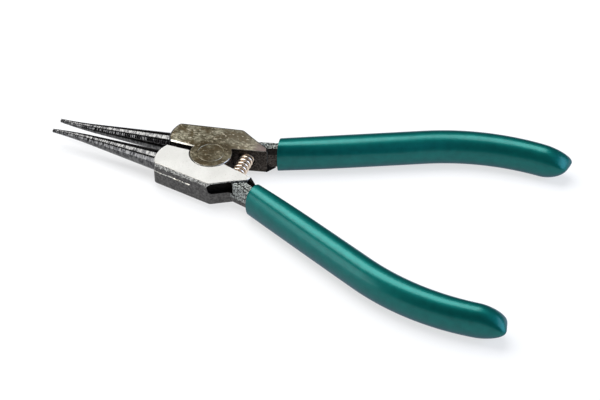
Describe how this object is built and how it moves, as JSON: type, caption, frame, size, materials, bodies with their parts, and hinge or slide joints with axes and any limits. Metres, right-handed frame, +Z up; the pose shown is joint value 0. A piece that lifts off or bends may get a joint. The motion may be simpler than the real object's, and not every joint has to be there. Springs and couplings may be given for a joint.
{
  "type": "circlip pliers",
  "caption": "External circlip pliers: long round-tapered jaws that spread when the splayed, sleeved handles are squeezed, with a lap joint on a flush rivet and a coil return spring.",
  "frame": {"origin": "on the rivet's axis, at the head's underside; the grips' undersides lie 1.55 mm lower", "axes": "+X along the tool from the rivet to the handles, the jaws pointing along -X; +Y towards the right arm; +Z up, along the rivet"},
  "size_m": [0.178, 0.0938, 0.0125],
  "materials": {
    "blackened_forged_steel": "blackened forging, turned and polished jaws, ground head faces",
    "ground_steel": "ground flush with the head",
    "bright_spring_wire": "bright drawn wire",
    "green_vinyl": "satin-gloss dipped vinyl"
  },
  "bodies": {
    "right_side": {"right_arm": "blackened_forged_steel", "right_grip": "green_vinyl", "pivot_rivet": "ground_steel", "return_spring": "bright_spring_wire"},
    "left_side": {"left_arm": "blackened_forged_steel", "left_grip": "green_vinyl"}
  },
  "joints": [
    {"name": "jaw_pivot", "type": "hinge", "parent": "right_side", "child": "left_side", "pos_m": [0, 0, 0], "axis": [0, 0, 1], "range_deg": [-3, 20], "stiffness_Nm_per_rad": 1.75, "deforming": ["return_spring"]}
  ]
}
